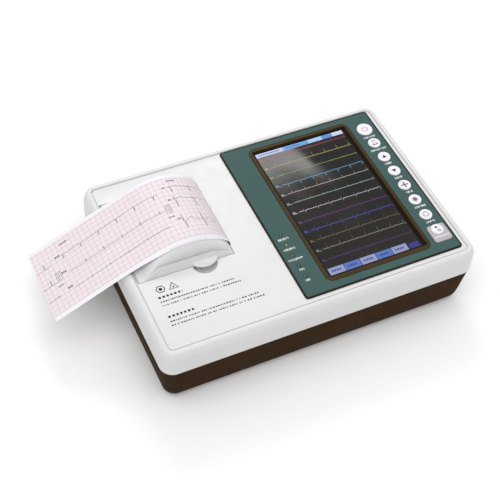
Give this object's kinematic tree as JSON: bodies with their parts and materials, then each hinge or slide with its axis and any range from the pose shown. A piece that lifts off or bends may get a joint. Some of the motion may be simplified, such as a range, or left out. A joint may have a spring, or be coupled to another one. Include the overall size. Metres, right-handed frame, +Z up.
{
  "type": "electrocardiograph",
  "caption": "Desktop electrocardiograph: low two-part case with a portrait display, a key column, status lights and a fold-up door over a thermal strip printer.",
  "frame": {"origin": "centre of the case's flat underside, 2 mm above the faces of the feet", "axes": "+X to the operator's right, +Y to the back, +Z up"},
  "size_m": [0.3783, 0.214, 0.0984],
  "materials": {
    "white_plastic": "fine satin moulding",
    "brown_plastic": "fine matt moulding",
    "rim_plastic": "satin",
    "bezel_plastic": "satin",
    "overlay_film": "fine-textured printed polyester",
    "screen_glass": "glossy, dark",
    "key_white": "satin, printed symbols",
    "key_grey": "satin, printed symbols",
    "led_lens": "clear tinted",
    "paper": "thin coated thermal paper with a printed grid",
    "cardboard": "wound cardboard",
    "rubber": "matt",
    "steel": "bright zinc",
    "aluminium": "plain mill finish",
    "brass": "turned",
    "black_plastic": "satin",
    "nylon": "moulded",
    "board": "green solder mask",
    "cell": "shrink-wrapped",
    "ceramic": "glazed"
  },
  "bodies": {
    "case": {"top_cover": "white_plastic", "bottom_case": "brown_plastic", "battery_door": "brown_plastic", "battery_pack": "cell", "fascia_plate": "rim_plastic", "front_overlay": "overlay_film", "screen_bezel": "bezel_plastic", "screen_window": "screen_glass", "lcd_module": "aluminium", "keypad_board": "board", "led_board": "board", "main_board": "board", "power_board": "board", "led_ready": "led_lens", "led_error": "led_lens", "led_charge": "led_lens", "led_dc": "led_lens", "led_mains": "led_lens", "printer_frame": "black_plastic", "door_hinge_pin": "steel", "idler_pin": "steel", "stepper_motor": "steel", "print_head": "ceramic", "head_sink": "aluminium", "roll_axle": "black_plastic", "paper_strip": "paper", "patient_connector": "steel", "usb_port": "steel", "mains_inlet": "black_plastic", "rocker_frame": "black_plastic", "fuse_holder": "black_plastic", "ground_post": "brass", "foot_1": "rubber", "case_screw_1": "steel", "foot_2": "rubber", "case_screw_2": "steel", "foot_3": "rubber", "case_screw_3": "steel", "foot_4": "rubber", "case_screw_4": "steel"},
    "door": {"printer_door": "white_plastic"},
    "platen": {"platen_shaft": "steel", "platen_rubber": "rubber", "platen_gear": "nylon"},
    "roll": {"paper_roll": "paper", "paper_core": "cardboard"},
    "idler": {"idler_gear": "nylon"},
    "pinion": {"motor_pinion": "brass"},
    "rocker": {"power_rocker": "black_plastic"},
    "key_power": {"key_power": "key_white"},
    "key_setup": {"key_setup": "key_white"},
    "key_prev": {"key_prev": "key_white"},
    "key_next": {"key_next": "key_white"},
    "key_insert": {"key_insert": "key_white"},
    "key_freeze": {"key_freeze": "key_white"},
    "key_mode": {"key_mode": "key_white"},
    "key_print": {"key_print": "key_grey"}
  },
  "joints": [
    {"name": "door_hinge", "type": "hinge", "parent": "case", "child": "door", "pos_m": [-0.141, 0.028, 0.067], "axis": [0, -1, 0], "range_deg": [0, 75], "deforming": ["paper_strip"]},
    {"name": "roll_spin", "type": "hinge", "parent": "case", "child": "roll", "pos_m": [-0.1, 0.03, 0.038], "axis": [0, -1, 0], "continuous": true},
    {"name": "platen_spin", "type": "hinge", "parent": "door", "child": "platen", "pos_m": [-0.0593, 0.03, 0.0635], "axis": [0, -1, 0], "continuous": true},
    {"name": "idler_spin", "type": "hinge", "parent": "case", "child": "idler", "pos_m": [-0.0593, 0.0752, 0.0452], "axis": [0, -1, 0], "continuous": true},
    {"name": "pinion_spin", "type": "hinge", "parent": "case", "child": "pinion", "pos_m": [-0.04527, 0.0752, 0.0371], "axis": [0, -1, 0], "continuous": true},
    {"name": "rocker_tilt", "type": "hinge", "parent": "case", "child": "rocker", "pos_m": [0.0793, 0.0996, 0.023], "axis": [0, 0, 1], "range_deg": [-16, 0]},
    {"name": "key_power_press", "type": "slide", "parent": "case", "child": "key_power", "axis": [0, 0, -1], "range_m": [0, 0.0008], "stiffness_N_per_m": 1500, "springref_m": -0.0003},
    {"name": "key_setup_press", "type": "slide", "parent": "case", "child": "key_setup", "axis": [0, 0, -1], "range_m": [0, 0.0008], "stiffness_N_per_m": 1500, "springref_m": -0.0003},
    {"name": "key_prev_press", "type": "slide", "parent": "case", "child": "key_prev", "axis": [0, 0, -1], "range_m": [0, 0.0008], "stiffness_N_per_m": 1500, "springref_m": -0.0003},
    {"name": "key_next_press", "type": "slide", "parent": "case", "child": "key_next", "axis": [0, 0, -1], "range_m": [0, 0.0008], "stiffness_N_per_m": 1500, "springref_m": -0.0003},
    {"name": "key_insert_press", "type": "slide", "parent": "case", "child": "key_insert", "axis": [0, 0, -1], "range_m": [0, 0.0008], "stiffness_N_per_m": 1500, "springref_m": -0.0003},
    {"name": "key_freeze_press", "type": "slide", "parent": "case", "child": "key_freeze", "axis": [0, 0, -1], "range_m": [0, 0.0008], "stiffness_N_per_m": 1500, "springref_m": -0.0003},
    {"name": "key_mode_press", "type": "slide", "parent": "case", "child": "key_mode", "axis": [0, 0, -1], "range_m": [0, 0.0008], "stiffness_N_per_m": 1500, "springref_m": -0.0003},
    {"name": "key_print_press", "type": "slide", "parent": "case", "child": "key_print", "axis": [0, 0, -1], "range_m": [0, 0.0008], "stiffness_N_per_m": 1500, "springref_m": -0.0003}
  ],
  "couplings": [
    {"joint": "platen_spin", "follows": "roll_spin", "ratio": 4.0323},
    {"joint": "idler_spin", "follows": "roll_spin", "ratio": -2.1347},
    {"joint": "pinion_spin", "follows": "roll_spin", "ratio": 6.0484}
  ]
}
